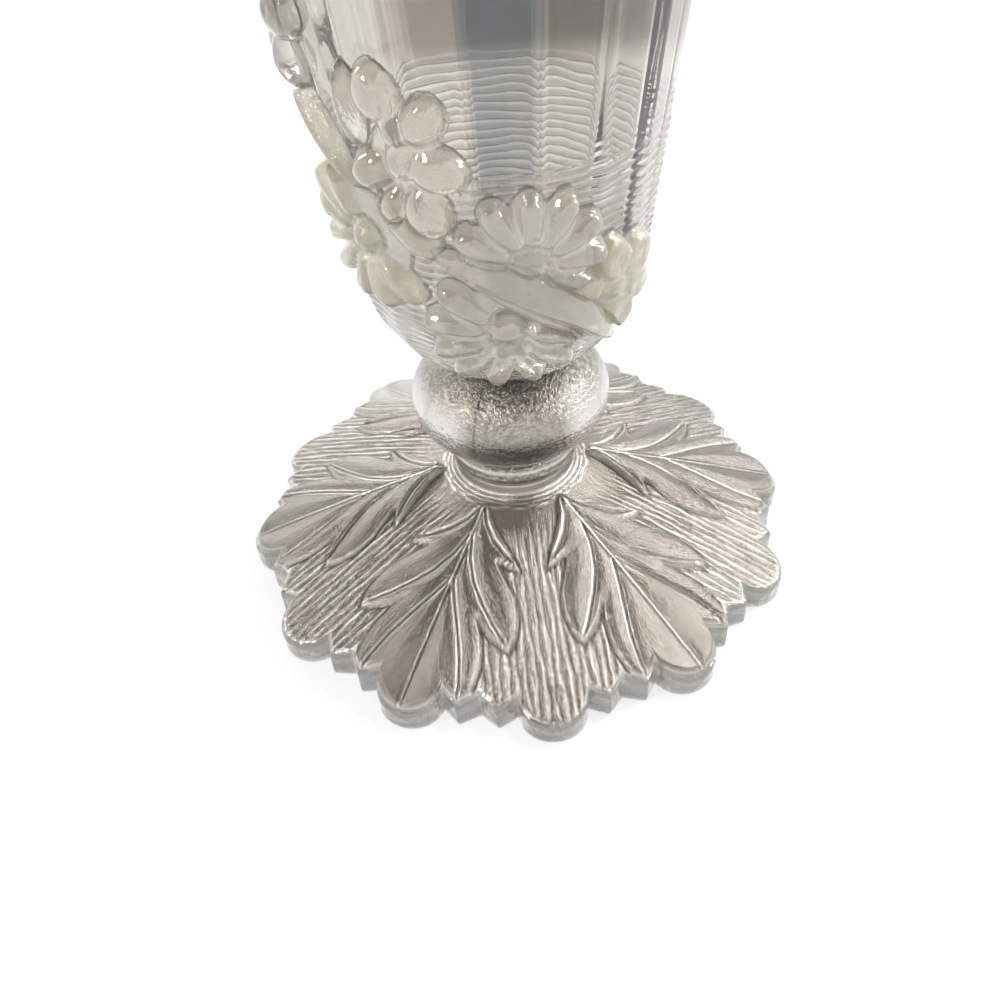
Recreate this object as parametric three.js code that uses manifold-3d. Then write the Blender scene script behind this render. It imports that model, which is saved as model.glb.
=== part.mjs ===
// A footed vase in clear pressed glass: a panelled bowl on a ball knop, a collar and a foot
// moulded with leaves, and a garland of glass flowers and leaves laid on the bowl.
// Millimetres, +Z up. The origin is the centre of the surface that the foot stands on.
// Angles are in degrees round the axis, from the front (-Y) towards the right (+X).
import * as THREE from "three";
import { mergeVertices } from "three/addons/utils/BufferGeometryUtils.js";
import Module from "manifold-3d";

const wasm = await Module();
wasm.setup();

// Rim of the foot: rounded lobes, with pointed teeth between them.
const lobeCount = 12;
const lobeRadius = 39.7;
const lobeHalfAngle = 7;
const toothRadius = 37.2;
const toothAngle = 11;
const valleyRadius = 35.4;
const firstLobeAngle = 3.5;
const rimThickness = 3;

// Body of the foot: a shallow cone that swells at its shoulder, with a fillet up to its neck
// and a hollow underneath.
const neckRadius = 8;
const neckHeight = 15.3;
const neckFillet = 2.3;
const shoulderRadius = 29;
const shoulderHeight = 7.3;
const hollowRadius = 30;
const hollowDepth = 6.2;

// Leaves moulded on the foot, one on every second lobe: a midrib, a blade that fills the lobe,
// and pairs of leaflets. A leaflet leaves the midrib at a distance from the axis, and its tip is
// at a radius and an angle. bow is how far across and along it has come where it bends most.
const leafRelief = 0.8;
const midribWidth = 1.5;
const bladeStart = 21;
const bladeWidth = 7.5;
const leaflets = [
  { from: 10.8, tipRadius: 19.6, tipAngle: 24.1, width: 2.9, bow: [0.25, 0.56] },
  { from: 13.5, tipRadius: 30.2, tipAngle: 20.8, width: 6, bow: [0.56, 0.48] },
  { from: 20, tipRadius: 35.2, tipAngle: 12.3, width: 4.2, bow: [0.6, 0.38] },
];

// Ribs on the ground between the leaves, side by side along each bare lobe. Those in the middle
// start near the neck, and the outer ones start past the tips of the leaflets.
const ribPitch = 2;
const ribRise = 0.4;
const ribStart = 13.5;
const ribBranch = 28.5;
const ribMargin = 0.9;
const ribPairs = 4;
const longRibPairs = 1;

// Collar and ball knop between the foot and the bowl.
const collarRadius = 9;
const collarHeight = 3.4;
const knopRadius = 13.35;
const knopHeight = 14.6;
const knopRoundness = 8.6;

// Bowl: a rounded bottom, a straight taper and a mouth that opens a little.
const bowlHeight = 126.7;
const bowlSeatRadius = 8.1;
const hipRadius = 17.2;
const hipHeight = 13;
const taperRadius = 22.4;
const taperHeight = 56.7;
const mouthRadius = 27.8;
const wallThickness = 3.2;
const bowlFloor = 6.7;
const lipBulge = 0.8;
const lipHeight = 3;
const panelCount = 18;
const panelEdgeAngle = -9;

// Garland: glass laid on the wall, kept a seat gap away from it and from its neighbours.
// Its line climbs to the left from the front, and its pieces spread above and below the line.
const garlandFront = 6;
const garlandHeight = 50.5;
const garlandClimb = 97;
const garlandSpread = 9;
const seatGap = 0.3;
const daisyRadius = 9;
const daisyPetals = 12;
const petalRise = 1.8;
const blossomRadius = 7.6;
const berryRise = 2.4;
const leafLength = 12;
const leafWidth = 5.5;
const leafRise = 1.9;

const collarBottom = neckHeight;
const knopBottom = collarBottom + collarHeight;
const bowlBottom = knopBottom + knopHeight;
const bowlTop = bowlBottom + bowlHeight;
const wallTop = bowlTop - lipHeight;
const roundSegments = 36;
const footSegments = 24;
const { degToRad, radToDeg } = THREE.MathUtils;

// Clear glass of one tint.
function glass(color, roughness) {
  return new THREE.MeshStandardMaterial({ color, roughness, metalness: 0, transparent: true, opacity: 0.5 });
}

// A closed three.js geometry as a solid that can be joined and cut.
function solidOf(geometry) {
  const bare = geometry.clone();
  bare.deleteAttribute("normal");
  bare.deleteAttribute("uv");
  const merged = mergeVertices(bare, 1e-4);
  return new wasm.Manifold(
    new wasm.Mesh({
      numProp: 3,
      vertProperties: merged.attributes.position.array,
      triVerts: new Uint32Array(merged.index.array),
    }),
  );
}

// A named mesh of a solid.
function meshOf(name, solid, material) {
  const { vertProperties, triVerts } = solid.getMesh();
  const geometry = new THREE.BufferGeometry();
  geometry.setAttribute("position", new THREE.BufferAttribute(vertProperties, 3));
  geometry.setIndex(new THREE.BufferAttribute(triVerts, 1));
  geometry.computeVertexNormals();
  const mesh = new THREE.Mesh(geometry, material);
  mesh.name = name;
  return mesh;
}

function union(solids) {
  return solids.reduce((whole, next) => whole.add(next));
}

// The solid that a profile of radius and height sweeps round the axis.
function turned(profile, segments = roundSegments, startAngle = 0) {
  const geometry = new THREE.LatheGeometry(profile, segments, degToRad(startAngle));
  return solidOf(geometry.rotateX(Math.PI / 2));
}

// A point at a radius and an angle round the axis, seen from above.
function polar(radius, angle) {
  return new THREE.Vector2(radius * Math.sin(degToRad(angle)), -radius * Math.cos(degToRad(angle)));
}

// Moves every vertex of a geometry to where move puts it.
function shift(geometry, move) {
  const position = geometry.getAttribute("position");
  const point = new THREE.Vector3();
  for (let i = 0; i < position.count; i += 1) {
    point.fromBufferAttribute(position, i);
    const moved = move(point);
    position.setXYZ(i, moved.x, moved.y, moved.z);
  }
  return geometry;
}

// A pod with an elliptical section lies along Y. swell moves its widest place towards the far end,
// and blunt rounds its ends. Four sides give it a keel.
function pod({ length, width, rise, sides = 6, rows = 6, swell = 1, blunt = 0.8 }) {
  const profile = [];
  for (let row = 0; row <= rows; row += 1) {
    const share = row / rows;
    const round = row === 0 || row === rows ? 0 : Math.sin(Math.PI * share ** swell) ** blunt;
    profile.push(new THREE.Vector2(round, share * length));
  }
  return new THREE.LatheGeometry(profile, sides).scale(width / 2, 1, rise);
}

// Bends a pod of unit length along a curve in the plane of X and Y.
function bend(geometry, curve) {
  return shift(geometry, ({ x, y, z }) => {
    const share = THREE.MathUtils.clamp(y, 0, 1);
    const at = curve.getPointAt(share);
    const along = curve.getTangentAt(share);
    return new THREE.Vector3(at.x + along.y * x, at.y - along.x * x, z);
  });
}

// Outline of the foot, seen from above, at half the rim's repeat either side of each lobe.
function rimOutline() {
  const repeat = 360 / lobeCount;
  const lobeSteps = 6;
  const points = [];
  for (let lobe = 0; lobe < lobeCount; lobe += 1) {
    const middle = firstLobeAngle + lobe * repeat;
    for (let step = 0; step <= lobeSteps; step += 1) {
      const across = (2 * step) / lobeSteps - 1;
      const reach = valleyRadius + (lobeRadius - valleyRadius) * Math.sqrt(1 - across ** 2);
      points.push(polar(reach, middle + across * lobeHalfAngle));
    }
    points.push(polar(toothRadius, middle + toothAngle));
    points.push(polar(valleyRadius, middle + repeat / 2));
    points.push(polar(toothRadius, middle + repeat - toothAngle));
  }
  return new THREE.Shape(points);
}

// Top of the foot from its fillet to the tips of its lobes, as radius and height.
function domeCurve() {
  return new THREE.QuadraticBezierCurve(
    new THREE.Vector2(neckRadius + neckFillet, neckHeight - neckFillet),
    new THREE.Vector2(shoulderRadius, shoulderHeight),
    new THREE.Vector2(lobeRadius, rimThickness),
  );
}

// Height of the dome at a radius.
function domeAt(radius) {
  const points = domeCurve().getPoints(60);
  const after = points.findIndex((point) => point.x >= radius);
  if (after < 1) return after === 0 ? points[0].y : rimThickness;
  const [low, high] = [points[after - 1], points[after]];
  return THREE.MathUtils.mapLinear(radius, low.x, high.x, low.y, high.y);
}

// One leaf of the foot along Y.
function footLeaf() {
  const keel = { length: 1, rise: leafRelief, sides: 4 };
  const midribStart = neckRadius + neckFillet;
  const midribRise = leafRelief * 1.5;
  const edge = lobeRadius - rimThickness / 3;
  const straight = (from, to) => new THREE.LineCurve(new THREE.Vector2(0, from), new THREE.Vector2(0, to));
  const pods = [
    bend(pod({ ...keel, width: midribWidth, rise: midribRise, rows: 4 }), straight(midribStart, edge)),
    bend(pod({ ...keel, width: bladeWidth, swell: 1.3, rows: 5 }), straight(bladeStart, edge)),
  ];
  for (const side of [-1, 1]) {
    for (const { from, tipRadius, tipAngle, width, bow } of leaflets) {
      const tip = polar(tipRadius, 180 - side * tipAngle);
      const bendPoint = new THREE.Vector2(tip.x * bow[0], from + (tip.y - from) * bow[1]);
      const curve = new THREE.QuadraticBezierCurve(new THREE.Vector2(0, from), bendPoint, tip);
      pods.push(bend(pod({ ...keel, width, rows: 4, swell: 1.2 }), curve));
    }
  }
  return pods;
}

// The ribs of one bare lobe along Y. Those past the lobe's own width end short of the teeth.
function footRibs() {
  const lobeHalfWidth = polar(lobeRadius, 180 - lobeHalfAngle).x;
  const ribs = [];
  for (let rib = -ribPairs; rib <= ribPairs; rib += 1) {
    const across = rib * ribPitch;
    const start = Math.abs(rib) <= longRibPairs ? ribStart : ribBranch;
    const rim = Math.abs(across) < lobeHalfWidth * 0.8 ? lobeRadius : toothRadius;
    const reach = rim - ribMargin - Math.abs(across) * 0.2;
    const line = new THREE.LineCurve(new THREE.Vector2(across, start), new THREE.Vector2(across, reach));
    const shape = { length: 1, width: ribPitch * 0.8, rise: ribRise, sides: 4, rows: 3, blunt: 0.3 };
    ribs.push(bend(pod(shape), line));
  }
  return ribs;
}

// The foot: its rim outline under a turned dome, with leaves and ribs raised on it and a hollow below.
function footSolid() {
  const dome = domeCurve();
  const past = dome.getPoint(1).add(dome.getTangent(1));
  const neckTop = new THREE.Vector2(neckRadius, neckHeight);
  const corner = new THREE.Vector2(neckRadius, neckHeight - neckFillet * 0.8);
  const fillet = new THREE.QuadraticBezierCurve(dome.getPoint(0), corner, neckTop);
  const cover = turned([
    new THREE.Vector2(0, 0),
    new THREE.Vector2(past.x, 0),
    past,
    ...dome.getPoints(5).reverse(),
    ...fillet.getPoints(3).slice(1),
    new THREE.Vector2(0, neckHeight),
  ], footSegments);
  const outline = new THREE.ExtrudeGeometry(rimOutline(), { depth: 2 * neckHeight, bevelEnabled: false });
  const block = solidOf(outline);
  const hollow = turned([
    new THREE.Vector2(0, -1),
    new THREE.Vector2(hollowRadius + 2, -1),
    ...new THREE.QuadraticBezierCurve(
      new THREE.Vector2(hollowRadius, 0),
      new THREE.Vector2(hollowRadius * 0.6, hollowDepth),
      new THREE.Vector2(0, hollowDepth),
    ).getPoints(5),
  ], footSegments);
  const relief = [];
  for (let lobe = 0; lobe < lobeCount; lobe += 1) {
    const turn = degToRad(firstLobeAngle + (lobe * 360) / lobeCount + 180);
    const leafy = lobe % 2 === 1;
    for (const geometry of leafy ? footLeaf() : footRibs()) {
      const laid = shift(geometry.rotateZ(turn), (point) => {
        const height = domeAt(Math.hypot(point.x, point.y));
        const sunk = (leafy ? leafRelief : ribRise) * 0.3;
        return new THREE.Vector3(point.x, point.y, point.z + height - sunk);
      });
      relief.push(solidOf(laid));
    }
  }
  return cover.intersect(block).add(union(relief)).intersect(block).subtract(hollow);
}

// The collar: a rounded ring of glass, seated on the neck.
function collarSolid() {
  const edge = collarHeight / 2;
  const bulge = edge * 0.6;
  const quarter = Math.PI / 2;
  const middle = collarBottom + edge;
  const arc = new THREE.EllipseCurve(collarRadius - bulge, middle, bulge, edge, -quarter, quarter);
  return turned([
    new THREE.Vector2(0, collarBottom),
    ...arc.getPoints(4),
    new THREE.Vector2(0, knopBottom),
  ]);
}

// The ball knop: a flattened ball, cut off flat where it meets the collar and the bowl.
function knopSolid() {
  const cut = Math.asin(knopHeight / 2 / knopRoundness);
  const arc = new THREE.EllipseCurve(0, knopBottom + knopHeight / 2, knopRadius, knopRoundness, -cut, cut);
  return turned([
    new THREE.Vector2(0, knopBottom),
    ...arc.getPoints(8),
    new THREE.Vector2(0, bowlBottom),
  ]);
}

// Outside of the bowl's wall from its seat to its mouth, as radius and height.
function wallPath() {
  const hipTop = bowlBottom + hipHeight;
  const taperTop = bowlBottom + taperHeight;
  const slope = (taperRadius - hipRadius) / (taperHeight - hipHeight);
  const path = new THREE.Path();
  path.moveTo(bowlSeatRadius, bowlBottom);
  path.bezierCurveTo(
    bowlSeatRadius + (hipRadius - bowlSeatRadius) * 0.35,
    bowlBottom + hipHeight * 0.15,
    hipRadius - slope * hipHeight * 0.5,
    bowlBottom + hipHeight * 0.5,
    hipRadius,
    hipTop,
  );
  path.lineTo(taperRadius, taperTop);
  const upper = wallTop - taperTop;
  path.bezierCurveTo(
    taperRadius + upper * slope * 0.35,
    taperTop + upper * 0.35,
    mouthRadius - upper * slope * 0.3,
    wallTop - upper * 0.3,
    mouthRadius,
    wallTop,
  );
  return path;
}

const wall = wallPath();
const wallLength = wall.getLength();

// A point of the wall's profile a distance along it and a distance out from it.
function wallProfile(along, out) {
  const share = THREE.MathUtils.clamp(along / wallLength, 0, 1);
  const at = wall.getPointAt(share);
  const tangent = wall.getTangentAt(share);
  return new THREE.Vector2(at.x + tangent.y * out, at.y - tangent.x * out);
}

// The distance along the wall at which it reaches a height.
function alongAt(height) {
  const steps = 400;
  for (let step = 1; step <= steps; step += 1) {
    const along = (step / steps) * wallLength;
    if (wallProfile(along, 0).y >= height) return along;
  }
  return wallLength;
}

// The outside of the bowl, in flat panels, grown by a gap where something is seated on it.
function bowlEnvelope(gap = 0) {
  const toEdge = 2 / (1 + Math.cos(Math.PI / panelCount));
  const rows = [0, 0.02, 0.04, 0.06, 0.08, 0.105, 0.14, 0.2, 0.3, 0.42, 0.55, 0.7, 0.85, 1];
  const side = rows.map((share) => {
    const at = wallProfile(share * wallLength, gap);
    return new THREE.Vector2(at.x * toEdge, at.y);
  });
  const bottom = new THREE.Vector2(0, side[0].y);
  const top = new THREE.Vector2(0, side[side.length - 1].y);
  return turned([bottom, ...side, top], panelCount, panelEdgeAngle);
}

// The bowl: a panelled outside, a round inside that follows it, and a rounded lip.
function bowlSolid() {
  const floor = bowlBottom + bowlFloor;
  const innerHip = wallProfile(alongAt(bowlBottom + hipHeight * 1.15), -wallThickness);
  const rounding = new THREE.QuadraticBezierCurve(
    new THREE.Vector2(innerHip.x * 0.35, floor),
    new THREE.Vector2(innerHip.x * 0.93, floor + wallThickness * 0.15),
    innerHip,
  );
  const inner = [];
  const start = alongAt(bowlBottom + hipHeight * 1.6);
  const rows = 5;
  for (let row = 0; row <= rows; row += 1) {
    inner.push(wallProfile(start + ((wallLength - start) * row) / rows, -wallThickness));
  }
  const mouth = inner[inner.length - 1];
  const cavity = turned([
    new THREE.Vector2(0, floor),
    ...rounding.getPoints(6),
    ...inner,
    new THREE.Vector2(mouth.x, bowlTop + lipHeight),
    new THREE.Vector2(0, bowlTop + lipHeight),
  ]);
  const lipMiddle = mouthRadius - wallThickness / 2;
  const lipReach = wallThickness / 2 + lipBulge;
  const lipArc = new THREE.EllipseCurve(lipMiddle, wallTop, lipReach, lipHeight, 0, 2 * Math.PI);
  const lip = turned(lipArc.getPoints(8));
  return bowlEnvelope().subtract(cavity).add(lip);
}

// Height of the garland's line at an angle round the bowl.
function garlandLine(angle) {
  return garlandHeight + (garlandClimb * (garlandFront - angle)) / 360;
}

// Lays a geometry drawn flat, X across, Y up and Z out, on the bowl's wall at an angle round it
// and a share of the spread above the garland's line.
function layOnWall(geometry, { angle, above }) {
  const start = alongAt(garlandLine(angle) + above * garlandSpread);
  return shift(geometry, ({ x, y, z }) => {
    const radius = wallProfile(start + y, 0).x;
    const profile = wallProfile(start + y, z);
    const plan = polar(profile.x, angle + radToDeg(x / radius));
    return new THREE.Vector3(plan.x, plan.y, profile.y);
  });
}

// A dome that stands out of the wall.
function button(radius, rise) {
  return new THREE.SphereGeometry(1, 8, 6).scale(radius, radius, rise);
}

// A daisy: club-shaped petals round a button, over the part of the round that shows.
function daisy({ size, turn = 0, from = 0, to = daisyPetals - 1, ...place }, grow) {
  const radius = daisyRadius * size;
  const petalWidth = 2 * radius * Math.sin(Math.PI / daisyPetals) * 0.84;
  const petalShape = { rows: 5, swell: 1.9, blunt: 0.65 };
  const parts = [
    button(radius * 0.62 + grow, petalRise * 0.55 + grow),
    button(radius * 0.22 + grow, petalRise * 1.25 + grow),
  ];
  for (let petal = from; petal <= to; petal += 1) {
    const spin = -degToRad(turn + (petal * 360) / daisyPetals);
    const sizes = { length: radius + grow, width: petalWidth + 2 * grow, rise: petalRise + grow };
    parts.push(pod({ ...petalShape, ...sizes }).rotateZ(spin));
  }
  return parts.map((part) => solidOf(layOnWall(part, place)));
}

// A blossom: round, bulging petals about a small bead, on a low disc. Each petal has its direction,
// and where it isn't like the others, its reach and its size as shares of theirs.
function blossom({ size, petals, ...place }, grow) {
  const radius = blossomRadius * size;
  const berry = radius * 0.42;
  const long = berry * 1.25;
  const parts = petals.map(([direction, reach = 1, share = 1]) => {
    const ball = new THREE.SphereGeometry(1, 8, 6);
    ball.scale(berry * share + grow, long * share + grow, berryRise * share ** 0.5 + grow);
    return ball.translate(0, (radius - long) * reach, 0).rotateZ(-degToRad(direction));
  });
  parts.push(button(berry * 0.75 + grow, berryRise * 0.8 + grow));
  parts.push(button(radius * 0.75 + grow, berryRise * 0.45 + grow));
  return parts.map((part) => solidOf(layOnWall(part, place)));
}

// A long leaf, turned by lean from level and bowed by a share of its length.
function leaf({ size, slim = 1, lean, bow = 0, ...place }, grow) {
  const length = leafLength * size;
  const middle = new THREE.Vector2(0, bow * length);
  const ends = [-length / 2, length / 2].map((x) => new THREE.Vector2(x, 0));
  const curve = new THREE.QuadraticBezierCurve(ends[0], middle, ends[1]);
  const width = leafWidth * slim;
  const shape = pod({ length: 1, width: width + 2 * grow, rise: leafRise + grow, sides: 6, blunt: 0.45 });
  return [solidOf(layOnWall(bend(shape, curve).rotateZ(degToRad(lean)), place))];
}

// The garland. Where pieces meet, the earlier one lies on top.
const evenPetals = [[0], [72], [144], [216], [288]];
const rightPetals = [[290], [348], [42], [95], [150]];
const leftPetals = [
  [31, 1.43, 0.76],
  [106, 1, 0.88],
  [165, 1.8, 0.86],
  [202, 1.78, 0.62],
  [246, 1.45, 0.75],
  [342, 2.06, 0.85],
  [352, 0.95, 0.55],
];
const frontLeaf = {
  name: "leaf_front",
  angle: 10,
  above: -0.11,
  size: 2.34,
  slim: 1.36,
  lean: -36.7,
  bow: 0.13,
};
const blossoms = [
  { name: "blossom_right", angle: 39.5, above: 0.9, size: 0.9, petals: rightPetals },
  { name: "blossom_left", angle: -27.4, above: 0.84, size: 0.9, petals: leftPetals },
  { name: "blossom_side", angle: -78, above: 0.43, size: 1, petals: evenPetals },
  { name: "blossom_back", angle: -174, above: 0.11, size: 1.05, petals: evenPetals },
];
const leaves = [
  { name: "leaf_left", angle: -31.5, above: -0.18, size: 0.78, lean: -46, bow: 0.06 },
  { name: "leaf_side", angle: -60, above: -0.14, size: 1.1, lean: -46 },
  { name: "leaf_upper", angle: -43.5, above: 0.86, size: 0.71, slim: 0.62, lean: -87 },
  { name: "leaf_curl", angle: -98, above: 0.06, size: 1.02, slim: 1.1, lean: -35, bow: -0.08 },
  { name: "leaf_back", angle: -152, above: -0.01, size: 0.95, slim: 1.1, lean: -38, bow: -0.05 },
  { name: "leaf_end", angle: -198, above: 0.28, size: 1, lean: -48, bow: 0.08 },
  { name: "bud_end", angle: -215, above: 0.44, size: 0.88, slim: 1.27, lean: -49, bow: 0.05 },
];
const daisies = [
  { name: "daisy_upper", angle: 7.2, above: 0.56, size: 0.98, from: -3, to: 4 },
  { name: "daisy_lower", angle: -1.2, above: -0.62, size: 1.02, turn: 10, from: 3, to: 10 },
  { name: "daisy_left", angle: -51, above: -1.04, size: 1, turn: 15, from: 4, to: 11 },
  { name: "daisy_back", angle: -128, above: -0.07, size: 1, turn: 5 },
];
const garland = [
  { build: leaf, ...frontLeaf },
  ...blossoms.map((spec) => ({ build: blossom, ...spec })),
  ...leaves.map((spec) => ({ build: leaf, ...spec })),
  ...daisies.map((spec) => ({ build: daisy, ...spec })),
];

// Each ornament, cut clear of the wall and of those that lie over it.
function garlandMeshes() {
  const onWall = bowlEnvelope(seatGap);
  const meshes = [];
  garland.forEach((spec, index) => {
    const { name, build } = spec;
    let body = union(build(spec, 0)).subtract(onWall);
    for (const over of garland.slice(0, index)) body = body.subtract(union(over.build(over, seatGap)));
    meshes.push(meshOf(name, body, glass(0xe4e2da, 0.12)));
  });
  return meshes;
}

const vase = new THREE.Group();
vase.name = "vase";
vase.add(
  meshOf("foot", footSolid(), glass(0xcfcfcb, 0.15)),
  meshOf("collar", collarSolid(), glass(0xc9c7c0, 0.1)),
  meshOf("knop", knopSolid(), glass(0xb9b5ad, 0.2)),
  meshOf("bowl", bowlSolid(), glass(0xd9dcdc, 0.08)),
  ...garlandMeshes(),
);

export default vase;
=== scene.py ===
# A footed bud vase in clear pressed glass: a panelled bowl with fine threads and a garland of
# glass flowers and leaves, a ball knop, a collar and a foot moulded with leaves.
# Shapes are worked out in millimetres and made in metres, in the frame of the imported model.
# Angles are in degrees round the axis, from the front (-Y) towards the right (+X).
import math

import bpy
import numpy as np
from mathutils import Matrix, Vector


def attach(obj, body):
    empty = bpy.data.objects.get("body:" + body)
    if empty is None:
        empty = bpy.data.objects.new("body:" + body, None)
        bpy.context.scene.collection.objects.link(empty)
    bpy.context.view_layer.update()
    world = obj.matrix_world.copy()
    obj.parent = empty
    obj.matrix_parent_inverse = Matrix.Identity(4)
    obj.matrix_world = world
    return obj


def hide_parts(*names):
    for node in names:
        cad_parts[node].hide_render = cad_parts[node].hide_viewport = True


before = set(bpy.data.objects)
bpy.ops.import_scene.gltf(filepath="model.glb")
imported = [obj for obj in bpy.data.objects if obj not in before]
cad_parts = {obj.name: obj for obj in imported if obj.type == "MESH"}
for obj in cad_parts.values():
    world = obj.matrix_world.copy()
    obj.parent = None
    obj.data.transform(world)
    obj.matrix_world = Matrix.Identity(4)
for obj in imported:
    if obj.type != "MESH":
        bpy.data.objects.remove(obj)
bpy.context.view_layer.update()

MM = 0.001
scene = bpy.context.scene


# Camera

def make_camera():
    focal, elevation, distance, roll = 36.41, math.radians(43.14), 0.151576, math.radians(-4.35)
    target = Vector((-0.002588, 0.0, 0.005192))
    back = Vector((0.0, -math.cos(elevation), math.sin(elevation)))
    right = Vector((1.0, 0.0, 0.0))
    up = right.cross(-back)
    across = right * math.cos(roll) + up * math.sin(roll)
    upward = -right * math.sin(roll) + up * math.cos(roll)
    data = bpy.data.cameras.new("camera")
    data.lens = focal
    data.clip_start = 0.005
    camera = bpy.data.objects.new("camera", data)
    matrix = Matrix((across, upward, back)).transposed().to_4x4()
    matrix.translation = target + back * distance
    camera.matrix_world = matrix
    scene.collection.objects.link(camera)
    scene.camera = camera


make_camera()


# Sizes, as in the model

LOBES, LOBE_RADIUS, LOBE_HALF, TOOTH_RADIUS, TOOTH_ANGLE = 12, 39.6, 7.0, 37.2, 11.0
VALLEY_RADIUS, FIRST_LOBE, RIM = 35.4, 3.5, 3.0
NECK_RADIUS, NECK_TOP, FILLET = 8.0, 15.3, 2.3
SHOULDER = (29.0, 7.3)
RIB_PITCH = 1.15
HOLLOW_RADIUS, HOLLOW_DEPTH = 30.0, 6.2
COLLAR_RADIUS, KNOP_BOTTOM, KNOP_RADIUS, KNOP_ROUND = 9.0, 18.7, 13.35, 8.6
BOWL_BOTTOM, BOWL_TOP = 33.3, 160.0
SEAT, HIP, HIP_HEIGHT, TAPER, TAPER_HEIGHT, MOUTH = 8.1, 17.2, 13.0, 22.4, 56.7, 27.8
WALL, FLOOR, LIP_BULGE, LIP = 3.2, 6.7, 0.8, 3.0
PANELS, PANEL_EDGE = 18, -9.0
GARLAND_FRONT, GARLAND_HEIGHT, GARLAND_CLIMB, GARLAND_SPREAD = 6.0, 50.5, 97.0, 9.0
DAISY, BLOSSOM, LEAF, LEAF_WIDTH = 9.0, 7.6, 12.0, 5.5

# Sizes that only the scene has

THREAD_BOTTOM, THREAD_TOP, THREAD_PITCH, THREAD_RISE = 34.5, 65.5, 1.05, 0.3
RINGS_PER_THREAD = 7
PANEL_SOFT = 0.9  # degrees that are rounded off on each side of a panel's edge
NECK_RINGS, NECK_RING_PITCH, SCALLOP = 7.95, 0.55, 9.6
RIM_ROUND = 0.55
SUNK = 0.06  # how far the knop goes into the pieces under and over it
NOTHING = -9.0  # height of an ornament where it has no glass
ORNAMENT_GRID, ORNAMENT_BACK = 0.17, -0.6

# Tones and kinds of glass

# Painted reflection of the room on each panel, from the one at PANEL_EDGE on: 0 is the first of the bowl's
# three tints, 1 the last.
PANE_REFLECTIONS = np.array([
    0.0, 0.48, 0.61, 0.62, 0.6, 0.8, 0.3, 0.6, 0.5, 0.3, 0.6, 0.8, 0.9, 0.7, 1.0, 1.0, 1.0, 0.72,
])
CREAM = {"blossom_right", "daisy_left", "leaf_side"}
CLEAR = {"blossom_left", "blossom_side", "leaf_curl", "leaf_upper", "blossom_back", "bud_end"}


# Helpers

def smooth(x, low, high):
    """0 below low, 1 above high, with an S-curve between."""
    t = np.clip((x - low) / (high - low), 0.0, 1.0)
    return t * t * (3 - 2 * t)


def bell(x, middle, width, power=2):
    """1 at the middle, and close to 0 from twice the width on. A higher power has a flatter top."""
    return np.exp(-(((x - middle) / width) ** power))


def away_from(angle, middle):
    """Degrees from the middle, between -180 and 180."""
    return (angle - middle + 180) % 360 - 180


def bezier(points, count):
    """Points along a Bezier curve with three or four control points."""
    t = np.linspace(0, 1, count)[:, None]
    p = np.array(points, float)
    if len(p) == 3:
        return (1 - t) ** 2 * p[0] + 2 * t * (1 - t) * p[1] + t * t * p[2]
    return (1 - t) ** 3 * p[0] + 3 * t * (1 - t) ** 2 * p[1] + 3 * t * t * (1 - t) * p[2] + t**3 * p[3]


def place(radius, angle, height):
    """Points from a radius, an angle and a height."""
    a = np.radians(angle)
    return np.stack([radius * np.sin(a), -radius * np.cos(a), height + 0 * a], -1)


def add_attribute(mesh, name, values):
    """A number for each point, for the materials to read."""
    mesh.attributes.new(name, "FLOAT", "POINT").data.foreach_set("value", np.asarray(values, np.float32))


def make_mesh(name, points, faces, material, nodes, groove):
    """A piece from points in millimetres. It stands for the nodes and takes its finish from the slot.

    The last argument paints shade on the glass at each point, darker as in a crease, or paints a highlight,
    lighter, where it is below 0.
    """
    mesh = bpy.data.meshes.new(name)
    mesh.from_pydata((np.asarray(points) * MM).tolist(), [], [tuple(int(i) for i in f) for f in faces])
    mesh.validate()
    mesh.shade_smooth()
    add_attribute(mesh, "groove", groove)
    piece = bpy.data.objects.new(name, mesh)
    scene.collection.objects.link(piece)
    mesh.materials.append(material)
    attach(piece, "root")
    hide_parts(*nodes)
    return piece


def bridge(faces, low, high, flip=False):
    """Joins two closed rings of point numbers, the second at most as fine as the first."""
    count, ratio = len(high), len(low) // len(high)
    half = (ratio + 1) // 2
    for i in range(count):
        here, there = high[i], high[(i + 1) % count]
        for k in range(ratio):
            a, b = low[i * ratio + k], low[(i * ratio + k + 1) % len(low)]
            side = here if k < half else there
            faces.append((a, b, side) if not flip else (b, a, side))
            if k == half - 1:
                faces.append((b, there, here) if not flip else (here, there, b))


class Rings:
    """Builds a closed surface from rings of points, from one pole to the other."""

    def __init__(self):
        self.points, self.faces, self.groove, self.last = [], [], [], None

    def ring(self, points, groove=0.0):
        start = len(self.points)
        self.points.extend(points.tolist())
        self.groove.extend(np.broadcast_to(groove, len(points)).tolist())
        ring = list(range(start, start + len(points)))
        if self.last is not None:
            self.join(self.last, ring)
        self.last = ring

    def join(self, old, new):
        if len(old) == 1:
            self.faces.extend((old[0], new[(i + 1) % len(new)], new[i]) for i in range(len(new)))
        elif len(new) == 1:
            self.faces.extend((old[i], old[(i + 1) % len(old)], new[0]) for i in range(len(old)))
        elif len(old) == len(new):
            n = len(old)
            self.faces.extend((old[i], old[(i + 1) % n], new[(i + 1) % n], new[i]) for i in range(n))
        elif len(old) > len(new):
            bridge(self.faces, old, new)
        else:
            bridge(self.faces, new, old, flip=True)

    def pole(self, height):
        self.ring(np.array([[0.0, 0.0, height]]))


# Wall of the bowl

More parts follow.
